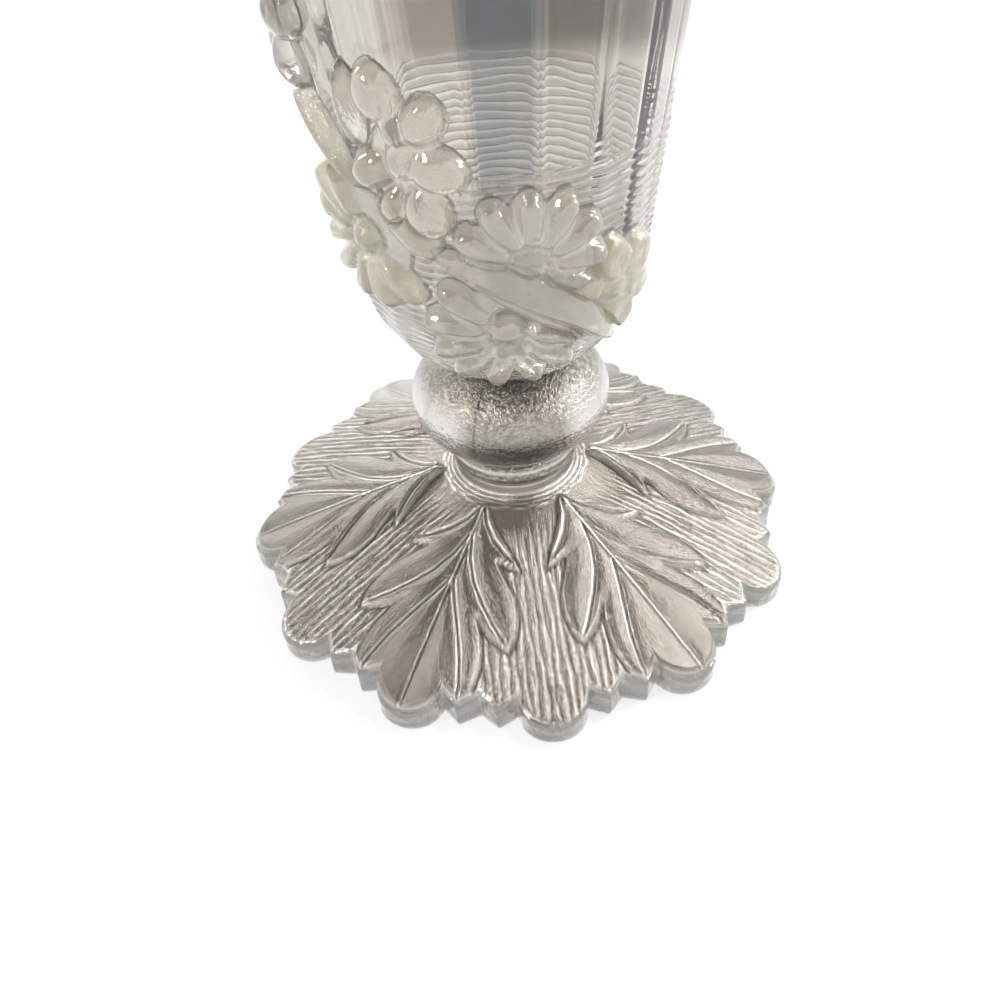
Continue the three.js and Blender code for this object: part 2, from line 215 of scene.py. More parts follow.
def wall_points():
    """Radius and height along the bowl's outside, with the same curves as in the model."""
    slope = (TAPER - HIP) / (TAPER_HEIGHT - HIP_HEIGHT)
    hip_top, taper_top, top = BOWL_BOTTOM + HIP_HEIGHT, BOWL_BOTTOM + TAPER_HEIGHT, BOWL_TOP - LIP
    upper = top - taper_top
    rounding = bezier([
        (SEAT, BOWL_BOTTOM),
        (SEAT + (HIP - SEAT) * 0.35, BOWL_BOTTOM + HIP_HEIGHT * 0.15),
        (HIP - slope * HIP_HEIGHT * 0.5, BOWL_BOTTOM + HIP_HEIGHT * 0.5),
        (HIP, hip_top),
    ], 400)
    mouth = bezier([
        (TAPER, taper_top),
        (TAPER + upper * slope * 0.35, taper_top + upper * 0.35),
        (MOUTH - upper * slope * 0.3, top - upper * 0.3),
        (MOUTH, top),
    ], 400)
    return np.concatenate([rounding[:-1], np.linspace((HIP, hip_top), (TAPER, taper_top), 400)[:-1], mouth])


WALL_POINTS = wall_points()
WALL_ALONG = np.concatenate([[0], np.cumsum(np.linalg.norm(np.diff(WALL_POINTS, axis=0), axis=1))])
WALL_LENGTH = WALL_ALONG[-1]
WALL_TANGENT = np.gradient(WALL_POINTS, WALL_ALONG, axis=0)
WALL_TANGENT /= np.linalg.norm(WALL_TANGENT, axis=1)[:, None]


def wall_at(along, out):
    """Radius and height a distance along the wall and a distance out from it."""
    r = np.interp(along, WALL_ALONG, WALL_POINTS[:, 0])
    z = np.interp(along, WALL_ALONG, WALL_POINTS[:, 1])
    tr = np.interp(along, WALL_ALONG, WALL_TANGENT[:, 0])
    tz = np.interp(along, WALL_ALONG, WALL_TANGENT[:, 1])
    return r + tz * out, z - tr * out


def along_at(height):
    """Distance along the wall at a height."""
    return float(np.interp(height, WALL_POINTS[:, 1], WALL_ALONG))


def panel_out(angle, radius):
    """How far a panel stands from the round wall, with its edges a little softened."""
    half = 180 / PANELS
    flatness = math.cos(math.radians(half))
    a = np.abs((angle - PANEL_EDGE) % (2 * half) - half)
    edge = 2 / (1 + flatness)
    flat = radius * edge * flatness / np.cos(np.radians(np.minimum(a, half - PANEL_SOFT)))
    return flat - radius


# Garland
# Each ornament is a height over the wall, in millimetres across (x) and along (y) from its place.

def ellipse(x, y, cx, cy, rx, ry, turn):
    """Place in a turned ellipse, along each of its axes, as a share of its radius."""
    c, s = math.cos(turn), math.sin(turn)
    dx, dy = x - cx, y - cy
    u, v = (c * dx + s * dy) / rx, (-s * dx + c * dy) / ry
    return u, v


def blob(x, y, cx, cy, rx, ry, turn, rise):
    """A round bead of glass."""
    u, v = ellipse(x, y, cx, cy, rx, ry, turn)
    return rise * np.maximum(0, 1 - u * u - v * v) ** 0.62 + NOTHING * (u * u + v * v >= 1)


def pad(x, y, cx, cy, rx, ry, turn, rise):
    """A petal with a flat top and a rolled edge."""
    u, v = ellipse(x, y, cx, cy, rx, ry, turn)
    q = u * u + v * v
    return rise * np.maximum(0, 1 - q**2.5) ** 0.6 * (0.8 + 0.2 * q) + NOTHING * (q >= 1)


def petal(x, y, direction, length, width, rise):
    """A club-shaped petal from the middle outwards, with a shallow crease along it."""
    waist, knee = 0.3, 0.74
    d = math.radians(direction)
    u = (x * math.sin(d) + y * math.cos(d)) / length
    v = x * math.cos(d) - y * math.sin(d)
    inner = waist + (1 - waist) * np.sin(np.clip(u / knee, 0, 1) * math.pi / 2) ** 2
    outer = np.sqrt(np.clip(1 - ((u - knee) / (1 - knee)) ** 2, 0, 1))
    half = width / 2 * np.where(u < knee, inner, outer)
    across = np.abs(v) / np.maximum(half, 1e-3)
    inside = (u > 0) & (u < 1) & (across < 1)
    level = 0.35 + 0.65 * np.sin(np.clip(u, 0, 1) * math.pi * 0.72)
    body = rise * level * np.where(u < knee, 1, np.clip(outer, 0, 1) ** 0.6)
    height = body * np.clip(1 - across**2, 0, 1) ** 0.62
    height = height - 0.22 * bell(v, 0, 0.35) * smooth(u, 0.2, 0.35) * smooth(-u, -0.95, -0.7)
    return np.where(inside, height, NOTHING)


def strap(x, y, points, width, rise, crease, ridge):
    """A leaf along a bowed line, with a share of a roof's ridge and a crease beside its middle."""
    line = bezier(points, 60)
    best = np.full(x.shape, 1e9)
    share = np.zeros(x.shape)
    side = np.zeros(x.shape)
    for i in range(len(line) - 1):
        a, b = line[i], line[i + 1]
        d = b - a
        t = np.clip(((x - a[0]) * d[0] + (y - a[1]) * d[1]) / (d @ d), 0, 1)
        px, py = x - a[0] - t * d[0], y - a[1] - t * d[1]
        dist = np.hypot(px, py)
        near = dist < best
        best = np.where(near, dist, best)
        share = np.where(near, (i + t) / (len(line) - 1), share)
        side = np.where(near, np.sign(d[0] * py - d[1] * px), side)
    half = width / 2 * np.sin(math.pi * np.clip(share, 1e-3, 1 - 1e-3)) ** 0.6
    across = best / np.maximum(half, 1e-3)
    outside = across >= 1
    across = np.minimum(across, 1.0)
    roof = np.sqrt(1 - across**2) * (1 - ridge) + (1 - across) ** 0.8 * ridge
    height = rise * roof * np.sin(math.pi * np.clip(share, 0.02, 0.98)) ** 0.35
    if crease:
        off = best * side - crease
        height = height + 0.4 * bell(off, 0, 0.4) - 0.7 * bell(off, -0.9, 0.35)
    return np.where(outside, NOTHING, height)


# Each of these three gives a height function and how far it reaches from its place.

def daisy(size, turn=0, first=0, last=11):
    """Petals from the first to the last twelfth, round a disc."""
    def height(x, y):
        r = DAISY * size
        width = 0.375 * r
        h = blob(x, y, 0, 0, r * 0.66, r * 0.66, 0, 0.4)
        for k in range(first, last + 1):
            wobble = 1 + 0.03 * math.sin(2.3 * k + 5 * size)
            h = np.maximum(h, petal(x, y, turn + 30 * k, r * wobble, width, 2.3))
        moat = 0.9 * bell(np.hypot(x, y), r * 0.24, r * 0.05)
        return np.maximum(h - moat, blob(x, y, 0, 0, r * 0.21, r * 0.21, 0, 1.8))
    return height, DAISY * size * 1.1


def blossom(size, petals, petal_form=blob):
    """Petals with a direction, a reach and a size each, round a berry."""
    def height(x, y):
        r = BLOSSOM * size
        berry = r * 0.42
        long = berry * 1.25
        h = blob(x, y, 0, 0, r * 0.6, r * 0.6, 0, 0.45)
        for direction, reach, share in petals:
            d = math.radians(direction)
            cx, cy = (r - long) * reach * math.sin(d), (r - long) * reach * math.cos(d)
            h = np.maximum(h, petal_form(x, y, cx, cy, berry * share, long * share, -d, 2.45 * share**0.5))
        return np.maximum(h, blob(x, y, 0, 0, berry * 0.75, berry * 0.75, 0, 2.0))
    # A petal's half length is 0.42 * 1.25 = 0.525 of the blossom's radius.
    farthest = max((1 - 0.525) * reach + 0.525 * share for _, reach, share in petals)
    return height, BLOSSOM * size * farthest * 1.06


def leaf(size, slim=1.0, lean=0.0, bow=0.0, crease=0.0, rise=1.9, ridge=0.6):
    """A leaf that leans by an angle and bows by a share of its length."""
    length, turn = LEAF * size, math.radians(lean)
    points = [(-length / 2, 0), (0, bow * length), (length / 2, 0)]
    c, s = math.cos(turn), math.sin(turn)
    points = [(c * px - s * py, s * px + c * py) for px, py in points]

    def height(x, y):
        return strap(x, y, points, LEAF_WIDTH * slim, rise, crease, ridge)
    return height, length * 0.56 + LEAF_WIDTH * slim / 2


EVEN = [(direction, 1.15, 0.85) for direction in (0, 72, 144, 216, 288)]
RIGHT = [(285, 1.25, 0.6), (350, 1.15, 0.8), (48, 1.2, 0.82), (108, 1.15, 0.78), (165, 1.2, 0.8)]
LEFT = [
    (31, 1.43, 0.76), (106, 1, 0.88), (165, 1.8, 0.86), (202, 1.78, 0.62), (246, 1.45, 0.75),
    (342, 2.06, 0.85), (352, 0.95, 0.55),
]
# Name, angle, place above or below the garland's climbing line, and shape. Each lies over the later ones.
GARLAND = [
    ("leaf_front", 10, -0.11, leaf(2.34, 1.02, -36.7, 0.13, crease=-0.6, ridge=0.15)),
    ("blossom_right", 39.5, 0.9, blossom(0.9, RIGHT, pad)),
    ("blossom_left", -27.4, 0.84, blossom(0.9, LEFT)),
    ("blossom_side", -78, 0.43, blossom(1, EVEN)),
    ("blossom_back", -174, 0.11, blossom(1.05, EVEN)),
    ("leaf_left", -31.5, -0.18, leaf(0.78, 1, -46, 0.06)),
    ("leaf_side", -60, -0.14, leaf(1.1, 0.85, -46, crease=0.5)),
    ("leaf_upper", -43.5, 0.86, leaf(0.71, 0.62, -87)),
    ("leaf_curl", -98, 0.06, leaf(1.02, 1.1, -35, -0.08, crease=0.6)),
    ("leaf_back", -152, -0.01, leaf(0.95, 1.1, -38, -0.05, crease=0.6)),
    ("leaf_end", -198, 0.28, leaf(1, 1, -48, 0.08, crease=-0.6)),
    ("bud_end", -215, 0.44, leaf(0.88, 1.27, -49, 0.05, rise=2.2)),
    ("daisy_upper", 7.2, 0.56, daisy(0.98, 0, -3, 4)),
    ("daisy_lower", -1.2, -0.62, daisy(1.02, 10, 3, 10)),
    ("daisy_left", -51, -1.04, daisy(1, 15, 4, 11)),
    ("daisy_back", -128, -0.07, daisy(1, 5)),
]


def garland_along(angle, above):
    """Distance along the wall of a place above or below the garland's line."""
    line = GARLAND_HEIGHT + GARLAND_CLIMB * (GARLAND_FRONT - angle) / 360
    return along_at(line + above * GARLAND_SPREAD)


def height_of(index, angle, along):
    """Height of one ornament over the wall, at angles round it and distances along it."""
    _, middle, above, (height, reach) = GARLAND[index]
    start = garland_along(middle, above)
    radius, _ = wall_at(along, 0)
    x, y = np.radians(away_from(angle, middle)) * radius, along - start
    out = np.full(np.broadcast(x, y).shape, NOTHING)
    near = (np.abs(x) < reach) & (np.abs(y) < reach)
    if near.any():
        out[near] = height(np.broadcast_to(x, out.shape)[near], np.broadcast_to(y, out.shape)[near])
    return out


def garland_cover(angle, along, count=len(GARLAND)):
    """Height of the highest of the first ornaments, by default of all."""
    cover = np.full(np.broadcast(angle, along).shape, NOTHING)
    for index in range(count):
        cover = np.maximum(cover, height_of(index, angle, along))
    return cover


# Materials

def nodes_of(name):
    """A new material with its node tree and its shader."""
    material = bpy.data.materials.new(name)
    material.use_nodes = True
    tree = material.node_tree
    shader = tree.nodes["Principled BSDF"]
    return material, tree, shader


def node(tree, kind, operation=None, **sockets):
    """A new node with its sockets set."""
    made = tree.nodes.new(kind)
    if operation:
        made.operation = operation
    for key, value in sockets.items():
        made.inputs[key].default_value = value
    return made


def glass(name, light, dark, roughness, bump, coat=1.0, coat_roughness=0.15, silver=0.0, milk=0.0,
          index=1.5, mottle=0.86, grain=70.0, panes=None):
    """Pressed glass: light where it is looked at squarely, dark where it turns away.

    An attribute for each point paints shade on it, above 0, as in creases, and paints highlights, below 0,
    as on crests.
    bump is a list of (scale, strength, stretch) for noises of a fine relief. silver is the metallic
    share, milk the share of clouded glass, and mottle the tone of its darker grain. panes are three
    tints for the pane attribute, painted reflections of the room, which set in with a second attribute, the
    share of that painted reflection.
    """
    material, tree, shader = nodes_of(name)
    link = tree.links.new
    shader.inputs["Transmission Weight"].default_value = 1.0 - milk
    shader.inputs["IOR"].default_value = index
    shader.inputs["Roughness"].default_value = roughness
    shader.inputs["Metallic"].default_value = silver
    shader.inputs["Coat Weight"].default_value = coat
    shader.inputs["Coat Roughness"].default_value = coat_roughness
    shader.inputs["Coat IOR"].default_value = 1.9
    spot = node(tree, "ShaderNodeTexCoord").outputs["Object"]

    def mix(kind, factor, first, second):
        made = tree.nodes.new("ShaderNodeMix")
        made.data_type, made.blend_type = "RGBA", kind
        # The sockets for colours share their names with others, so they go by number.
        for socket, value in ((made.inputs[0], factor), (made.inputs[6], first), (made.inputs[7], second)):
            if isinstance(value, bpy.types.NodeSocket):
                link(value, socket)
            else:
                socket.default_value = value
        return made.outputs[2]

    def attribute(kind):
        made = tree.nodes.new("ShaderNodeAttribute")
        made.attribute_name = kind
        return made.outputs["Fac"]

    def ranged(value, low, high):
        made = node(tree, "ShaderNodeMapRange")
        made.inputs["From Min"].default_value, made.inputs["From Max"].default_value = low, high
        link(value, made.inputs["Value"])
        return made.outputs["Result"]

    tone = node(tree, "ShaderNodeTexNoise", Scale=grain, Detail=3.0)
    link(spot, tone.inputs["Vector"])
    facing = node(tree, "ShaderNodeLayerWeight", Blend=0.5).outputs["Facing"]
    color = mix("MIX", facing, (*light, 1), (*dark, 1))
    color = mix("MULTIPLY", tone.outputs["Fac"], color, (mottle, mottle * 0.99, mottle * 0.98, 1))
    if panes:
        ramp = tree.nodes.new("ShaderNodeValToRGB")
        ramp.color_ramp.elements.new(0.5)
        for element, tint in zip(ramp.color_ramp.elements, panes):
            element.color = (*tint, 1)
        link(attribute("pane"), ramp.inputs["Fac"])
        color = mix("MULTIPLY", attribute("painted_reflection_share"), color, ramp.outputs["Color"])
    groove = attribute("groove")
    # Painted shade for creases and a painted highlight for crests.
    crease, crest = (*[c * 0.2 for c in dark], 1), (1.0, 0.99, 0.96, 1)
    color = mix("MIX", ranged(groove, 0, 1), color, crease)
    color = mix("MIX", ranged(groove, 0, -1), color, crest)
    link(color, shader.inputs["Base Color"])
    last = None
    for scale, strength, stretch in bump:
        mapping = node(tree, "ShaderNodeMapping", Scale=stretch)
        noise = node(tree, "ShaderNodeTexNoise", Scale=scale, Detail=2.0, Roughness=0.6)
        raised = node(tree, "ShaderNodeBump", Strength=strength, Distance=0.0004)
        link(spot, mapping.inputs["Vector"])
        link(mapping.outputs["Vector"], noise.inputs["Vector"])
        link(noise.outputs["Fac"], raised.inputs["Height"])
        if last:
            link(last.outputs["Normal"], raised.inputs["Normal"])
        last = raised
    link(last.outputs["Normal"], shader.inputs["Normal"])
    link(last.outputs["Normal"], shader.inputs["Coat Normal"])
    return material


EVENLY = (1, 1, 1)
FOOT_GLASS = glass("foot_glass", (0.37, 0.32, 0.275), (0.12, 0.105, 0.09), 0.08, [(5000, 0.35, EVENLY)],
                   coat=0.85, coat_roughness=0.05, silver=0.74)
RIM_GLASS = glass("foot_rim_glass", (1.0, 1.0, 0.95), (0.93, 0.92, 0.86), 0.03,
                  [(350, 1.0, EVENLY), (1200, 0.4, (1, 1, 0.4))],
                  coat_roughness=0.04, milk=0.22, mottle=0.7, grain=500.0)
STEM_GLASS = glass("stem_glass", (0.86, 0.79, 0.685), (0.11, 0.095, 0.08), 0.07,
                   [(2600, 0.6, (1, 1, 0.5)), (900, 0.35, (0.35, 0.35, 2.0))],
                   coat=0.8, coat_roughness=0.05, silver=0.7, mottle=0.12, grain=1500.0)
BOWL_GLASS = glass("bowl_glass", (0.99, 0.965, 0.92), (0.74, 0.73, 0.70), 0.02, [(150, 0.10, (1, 1, 0.4))],
                   coat=0.5, coat_roughness=0.03, milk=0.025,
                   panes=((0.215, 0.265, 0.295), (0.245, 0.215, 0.195), (0.97, 0.97, 0.95)))
CLEAR_GLASS = glass("garland_clear", (0.93, 0.90, 0.835), (0.94, 0.90, 0.82), 0.03,
                    [(1500, 0.12, EVENLY), (300, 0.3, EVENLY)],
                    coat_roughness=0.02, milk=0.06, index=1.38, mottle=0.96)
GARLAND_GLASS = glass("garland_glass", (0.945, 0.905, 0.81), (0.99, 0.955, 0.87), 0.03,
                      [(1500, 0.15, EVENLY), (450, 0.5, EVENLY)],
                      coat_roughness=0.015, milk=0.29, index=1.31, mottle=0.94)
CREAM_GLASS = glass("garland_cream", (1.0, 0.945, 0.765), (1.0, 0.965, 0.795), 0.05,
                    [(3000, 0.3, EVENLY), (450, 0.5, EVENLY)],
                    coat_roughness=0.02, milk=0.36, index=1.27, mottle=0.96)


# Foot

def rim_radius(angle):
    """Outline of the foot at each angle."""
    repeat = 360 / LOBES
    a = np.abs((angle - FIRST_LOBE + repeat / 2) % repeat - repeat / 2)
    lobe = VALLEY_RADIUS + (LOBE_RADIUS - VALLEY_RADIUS) * np.sqrt(np.clip(1 - (a / LOBE_HALF) ** 2, 0, 1))
    tooth = np.interp(a, [LOBE_HALF, TOOTH_ANGLE, repeat / 2], [VALLEY_RADIUS, TOOTH_RADIUS, VALLEY_RADIUS])
    return np.where(a < LOBE_HALF, lobe, tooth)


def cone(radius):
    """Height of the foot's bare top at a radius."""
    top = bezier([(NECK_RADIUS + FILLET, NECK_TOP - FILLET), SHOULDER, (LOBE_RADIUS + 0.1, RIM)], 200)
    fillet = bezier([(NECK_RADIUS, NECK_TOP), (NECK_RADIUS, NECK_TOP - FILLET * 0.8), tuple(top[0])], 40)
    curve = np.concatenate([fillet[:-1], top])
    return np.interp(radius, curve[:, 0], curve[:, 1])


def polyline_distance(x, y, points):
    """Distance of each place from a line of straight pieces."""
    best = np.full(x.shape, 1e9)
    for a, b in zip(points[:-1], points[1:]):
        a, b = np.array(a, float), np.array(b, float)
        d = b - a
        t = np.clip(((x - a[0]) * d[0] + (y - a[1]) * d[1]) / (d @ d), 0, 1)
        best = np.minimum(best, np.hypot(x - a[0] - t * d[0], y - a[1] - t * d[1]))
    return best


def inside_of(x, y, points):
    """Whether each place lies inside a closed line, by how often a ray from it crosses the line."""
    inside = np.zeros(x.shape, bool)
    for (ax, ay), (bx, by) in zip(points, points[1:] + points[:1]):
        crosses = (ay > y) != (by > y)
        with np.errstate(divide="ignore", invalid="ignore"):
            cut = (bx - ax) * (y - ay) / (by - ay) + ax
        inside ^= crosses & (x < cut)
    return inside


# Half of a leaf, across and outwards from the axis in millimetres: its edge and its veins.
LEAF_EDGE = [
    (-1, 9.0), (0.5, 10.2), (1.9, 12.4), (4.0, 14.3), (6.2, 16.0), (8.2, 17.9),
    (6.6, 17.9), (4.9, 17.8), (6.6, 19.4), (8.8, 21.4), (10.3, 23.8), (11.0, 26.2), (10.8, 28.4),
    (9.0, 27.9), (7.1, 27.2), (5.9, 26.4), (5.2, 25.6), (6.4, 27.2), (7.4, 29.2), (8.0, 31.2),
    (8.2, 33.4), (8.3, 39.0), (-1, 42.0),
]
VEINS = [
    [(0, 10.0), (0, 39.2)],
    [(0.2, 11.0), (1.3, 13.2), (3.2, 15.2), (5.6, 16.8), (7.9, 17.8)],
    [(0.2, 15.4), (1.2, 18.4), (3.0, 21.4), (5.4, 24.0), (8.2, 26.4), (10.6, 28.2)],
    [(0.2, 21.8), (1.5, 24.4), (3.5, 28.0), (5.1, 31.0), (6.3, 34.0), (6.9, 36.4)],
]


def foot_relief(angle, radius):
    """Height of the leaves and ribs over the foot's bare top, and the painted shade and highlights of their
    lines.
    """
    # Half a leaf repeats twelve times: x across it, y outwards, signed how far inside its edge.
    a = np.radians(np.abs((angle - FIRST_LOBE) % 60 - 30))
    x, y = radius * np.sin(a), radius * np.cos(a)
    edge = polyline_distance(x, y, LEAF_EDGE)
    signed = np.where(inside_of(x, y, LEAF_EDGE), edge, -edge)
    veins = [polyline_distance(x, y, vein) for vein in VEINS]
    to_rim = rim_radius(angle) - radius
    onleaf = smooth(radius, 9.6, 11.5) * smooth(to_rim, 0.2, 1.1)

    # The leaf swells between its edge and its veins.
    nearest = np.minimum.reduce(veins)
    share = (edge - nearest) / np.maximum(edge + nearest, 1e-3)
    pads = 0.55 * (1 - share**2)
    midrib = 0.22 * bell(veins[0], 0, 0.28)
    body = 0.42 * smooth(signed, -0.1, 0.28) + (pads + midrib) * smooth(signed, 0.0, 0.3)
    rim_edge = 0.1 * bell(signed, 0.25, 0.16)

    # Ribs on the ground between the leaves, fanned out and a little uneven.
    fan = radius * np.sin(np.radians(30) - a) * (1 + 0.25 * (1 - radius / 38))
    wobble = 0.12 * np.sin(radius * 0.55 + fan * 1.7) + 0.08 * np.sin(radius * 1.3 - fan * 2.9)
    fan = fan + wobble
    wave = np.abs(np.cos(math.pi * fan / RIB_PITCH))
    ribs = 0.3 * wave**0.7 + 0.05 * np.sin(fan * 17 + radius * 0.7)
    ground = smooth(radius, 12.0, 17.0) * smooth(to_rim, 0.35, 0.9) * smooth(-signed, 0.05, 0.5)

    # Painted shade beside the ribs, the leaf's edge and its veins, and painted highlights on them.
    uneven = 0.6 + 0.4 * np.sin(fan * 5.1 + radius * 0.23) * np.sin(fan * 2.3 - radius * 0.31 + 1)
    groove = ground * uneven * (0.8 * (1 - wave) ** 3 - 0.6 * wave**14)
    groove += onleaf * 0.8 * bell(signed, -0.15, 0.15)
    groove -= onleaf * 0.5 * bell(signed, 0.15, 0.1)
    inner = smooth(signed, 0.3, 0.7) * onleaf
    # Painted shade over the leaf's body, growing from the neck outwards.
    groove += inner * 0.2 * smooth(radius, 12, 20)
    for index, d in enumerate(veins):
        dark_at, light_at = (0.32, 0.0) if index == 0 else (0.0, 0.3)
        groove += inner * 0.7 * bell(d, dark_at, 0.12)
        groove -= inner * 0.8 * bell(d, light_at, 0.1)

    # A painted light line along a scallop and painted rings of light and shade round the neck, and a
    # painted highlight along the rim.
    scallop = radius - SCALLOP - 0.35 * np.abs(np.cos(np.radians(angle * 9)))
    groove -= 0.7 * bell(scallop, 0.4, 0.1)
    painted_ring_lines = 0.3 - 0.9 * np.abs(np.cos(math.pi * (radius - NECK_RINGS) / NECK_RING_PITCH)) ** 3
    groove += smooth(-scallop, 0.0, 0.2) * painted_ring_lines
    groove -= 0.5 * bell(to_rim, 0.5, 0.3)
    return (body + rim_edge) * onleaf + ribs * ground, np.clip(groove, -1, 1)


def make_foot():
    fine, coarse = 1080, 360
    neck, lobes_start = NECK_TOP + 0.08, 34.0
    rings = Rings()

    def ring(count, radius, height, tone=0.0):
        angle = np.arange(count) * 360 / count
        rings.ring(place(radius, angle, np.broadcast_to(height, angle.shape)), tone)

    def carved(radius):
        angle = np.arange(fine) * 360 / fine
        radius = np.broadcast_to(radius, angle.shape)
        rise, groove = foot_relief(angle, radius)
        ring(fine, radius, cone(radius) + rise, groove)

    # The neck's flat top, its rings, the cone and the lobes.
    rings.pole(neck)
    ring(coarse, 4.0, neck)
    ring(coarse, 7.8, neck)
    for radius in np.linspace(NECK_RINGS, SCALLOP, 12):
        carved(radius)
    for radius in np.arange(9.8, 33.9, 0.28):
        carved(radius)
    angle = np.arange(fine) * 360 / fine
    rim = rim_radius(angle)
    for share in np.linspace(0, 1, 16):
        carved(lobes_start + (rim - RIM_ROUND - lobes_start) * share)

    # The rim's rounded edge and its side, with painted bands of shade and highlight and painted upright
    # streaks of reflection.
    first_of_side = len(rings.faces)
    last = cone(rim - RIM_ROUND)
    for turn in np.radians([20, 40, 60, 80]):
        out, down = RIM_ROUND * math.sin(turn), RIM_ROUND * (1 - math.cos(turn))
        ring(fine, rim - RIM_ROUND + out, last - down, 0.25)
    side_top, side_bottom = last - 0.6, 0.35
    painted_streaks = 0.3 * np.sin(np.radians(angle * 61)) * np.sin(np.radians(angle * 17))
    for share, tone in ((0.1, 0.35), (0.25, -0.7), (0.5, -0.1), (0.75, 0.2), (0.9, -0.6)):
        ring(fine, rim, side_top * (1 - share) + side_bottom * share, np.clip(tone + painted_streaks, -1, 1))
    ring(fine, rim - 0.05, 0.15, -0.8)
    ring(fine, rim - 0.3, 0.0)

    # The ring it stands on and the hollow inside it.
    ring(coarse, HOLLOW_RADIUS + 2.5, 0.0)
    ring(coarse, HOLLOW_RADIUS + 0.3, 0.0)
    under = bezier([(HOLLOW_RADIUS, 0.1), (HOLLOW_RADIUS * 0.6, HOLLOW_DEPTH), (0, HOLLOW_DEPTH)], 16)
    for radius, height in under[:-1]:
        ring(coarse, radius, height)
    rings.pole(HOLLOW_DEPTH)

    faces = [face[::-1] for face in rings.faces]
    foot = make_mesh("foot_moulded", rings.points, faces, FOOT_GLASS, ["foot"], rings.groove)
    foot.data.materials.append(RIM_GLASS)
    side = np.arange(len(foot.data.polygons)) >= first_of_side
    foot.data.polygons.foreach_set("material_index", side.astype(np.int32))


# Collar and knop

def turned(name, profile, nodes, count, tone, ripple=None):
    """A turned piece from its profile. tone gives each point's painted shade and highlights, and ripple its
    distance outwards.
    """
    rings = Rings()
    rings.pole(profile[0][1])
    angle = np.arange(count) * 360 / count
    for r, z in profile[1:-1]:
        out = r + ripple(angle, z) if ripple else r
        rings.ring(place(out, angle, np.full(angle.shape, z)), tone(angle, z))
    rings.pole(profile[-1][1])
    make_mesh(name, rings.points, rings.faces, STEM_GLASS, nodes, rings.groove)


def make_collar():
    middle, edge = (NECK_TOP + KNOP_BOTTOM) / 2, (KNOP_BOTTOM - NECK_TOP) / 2
    bulge = edge * 0.6
    arc = [(COLLAR_RADIUS - bulge + bulge * math.cos(t), middle + edge * math.sin(t))
           for t in np.radians(np.linspace(-90, 90, 25))]

    # Painted rings round the collar: painted shade with thin painted highlight lines.
    def painted_ring_lines(angle, z):
        return np.full(angle.shape, 0.2 - 0.9 * abs(math.cos(math.pi * (z - middle) / 0.9)) ** 3)
    turned("collar_ring", [(0, arc[0][1]), *arc, (0, arc[-1][1])], ["collar"], 180, painted_ring_lines)


def make_knop():
    half = (BOWL_BOTTOM - KNOP_BOTTOM) / 2
    cut = math.asin(half / KNOP_ROUND)
    level = KNOP_BOTTOM + half
    arc = [(KNOP_RADIUS * math.cos(t), level + KNOP_ROUND * math.sin(t))
           for t in np.linspace(-cut, cut, 60)]
    bottom, top = KNOP_BOTTOM - SUNK, BOWL_BOTTOM + SUNK
    profile = [(0, bottom), (arc[0][0], bottom), *arc, (arc[-1][0], top), (0, top)]

    def seam(angle, z):
        """The mould's seam, at the front's left, on a skin that isn't quite even."""
        wave = 0.04 * np.sin(3 * np.radians(angle)) + 0.03 * math.sin(z * 1.7)
        return 0.09 * bell(away_from(angle, -22), 0, 0.5) + wave * (20 < z < 32)

    def painted_reflections(angle, z):
        """Painted reflections: a dark patch in the middle of each third and bright ones beside it, with
        painted shade in a line near the knop's bottom, beside the seam and under the bowl.
        """
        third = (angle + 60) % 120 - 60
        dark_reflection = bell(third, 2, 24, 4) * bell(z, 24, 3.2, 4)
        bright_reflection = bell(np.abs(third), 48, 18, 4) * bell(z, 26, 4, 4)
        line = bell(z, 19.9, 0.3)
        seam_shade = bell(away_from(angle, -24), 0, 0.7)
        shade = bell(z, 32.5, 1.6)
        return np.clip(0.8 * dark_reflection - 0.9 * bright_reflection + 0.6 * line + 0.6 * seam_shade + 0.55 * shade, -1, 1)
    turned("knop_ball", profile, ["knop"], 360, painted_reflections, seam)


# Bowl

def bowl_angles():
    """Angles round the bowl, closer together at the edges of its panels."""
    step = 360 / PANELS
    twentieths = np.array([
        0, 0.2, 0.5, 1.0, 2.0, 3.5, 5, 6.5, 8, 10, 12, 13.5, 15, 16.5, 18, 19, 19.5, 19.8,
    ])
    from_edge = (np.arange(PANELS)[:, None] * step + twentieths * step / 20).ravel()
    return np.sort((PANEL_EDGE + from_edge) % 360)


def painted_pane_tones(angle):
    """A painted reflection of the room for each panel, which changes softly at its edges, with a painted
    light band near the edge each panel starts from.
    """
    step = 360 / PANELS
    share = ((angle - PANEL_EDGE) % 360) / step
    panel = share.astype(int)
    within = share - panel
    here = PANE_REFLECTIONS[panel % PANELS]
    before, after = PANE_REFLECTIONS[(panel - 1) % PANELS], PANE_REFLECTIONS[(panel + 1) % PANELS]
    left, right = 1 - smooth(within, -0.02, 0.02), smooth(within, 0.98, 1.02)
    painted_panel_edge_light = 0.3 * bell(within, 0.06, 0.04)
    return np.clip(here + (before - here) * left + (after - here) * right + painted_panel_edge_light, 0, 1)


